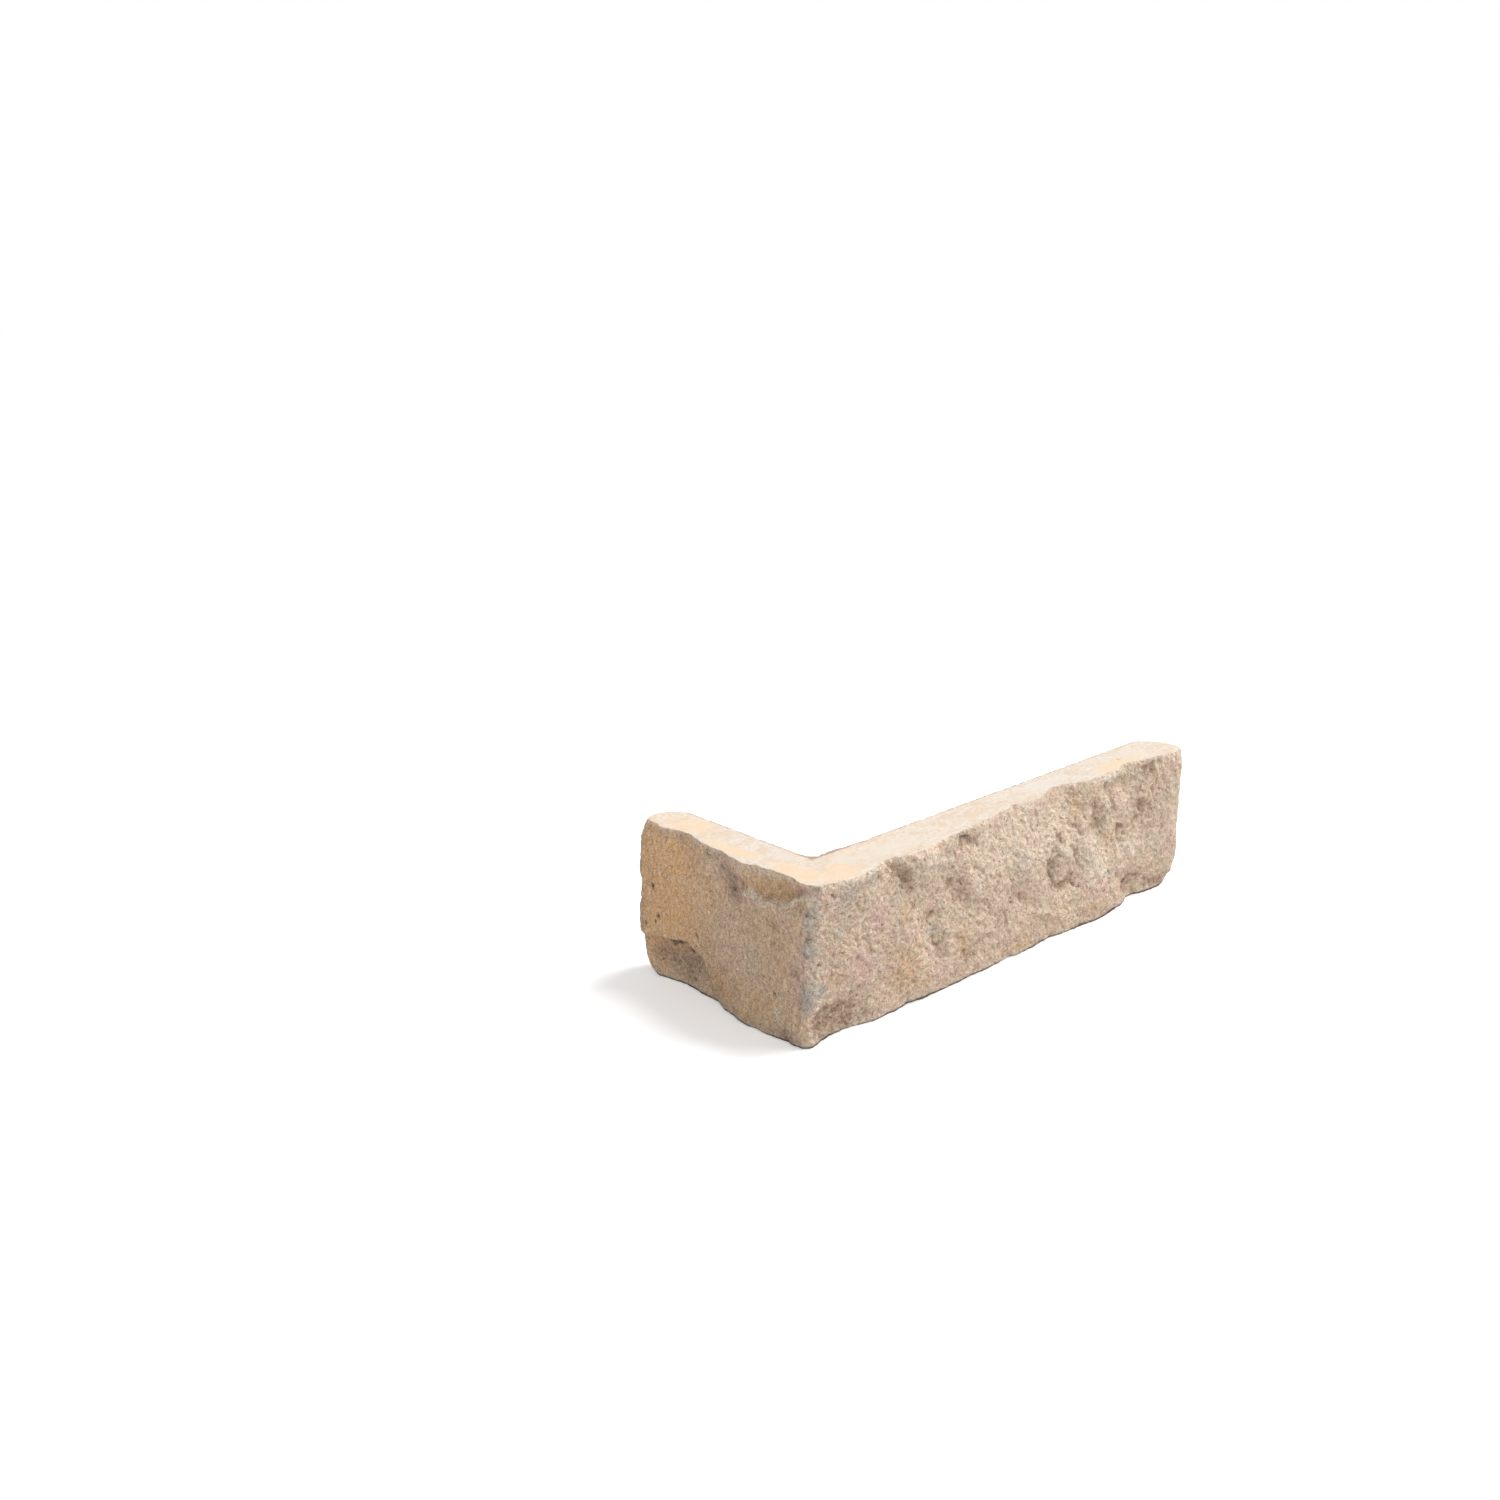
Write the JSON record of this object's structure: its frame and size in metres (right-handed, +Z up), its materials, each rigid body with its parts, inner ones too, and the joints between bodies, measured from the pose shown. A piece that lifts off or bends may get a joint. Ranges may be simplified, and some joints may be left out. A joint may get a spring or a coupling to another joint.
{
  "type": "corner stone veneer",
  "caption": "L-shaped cast stone veneer unit that wraps the outside corner of a wall, with hewn outer faces and flat backs for mortar.",
  "frame": {"origin": "on the bed, at the foot of the line where the planes of the two backs cross, which is the corner of the wall behind the stone", "axes": "+X along the long leg from the wall's corner, +Y along the short leg from the wall's corner, +Z up from the bed to the top"},
  "size_m": [0.3606, 0.1511, 0.095],
  "materials": {
    "cast_stone": "rough hewn face in beige, tan and grey, with smooth pale bed and top"
  },
  "bodies": {
    "root": {"corner_stone": "cast_stone"}
  },
  "joints": []
}
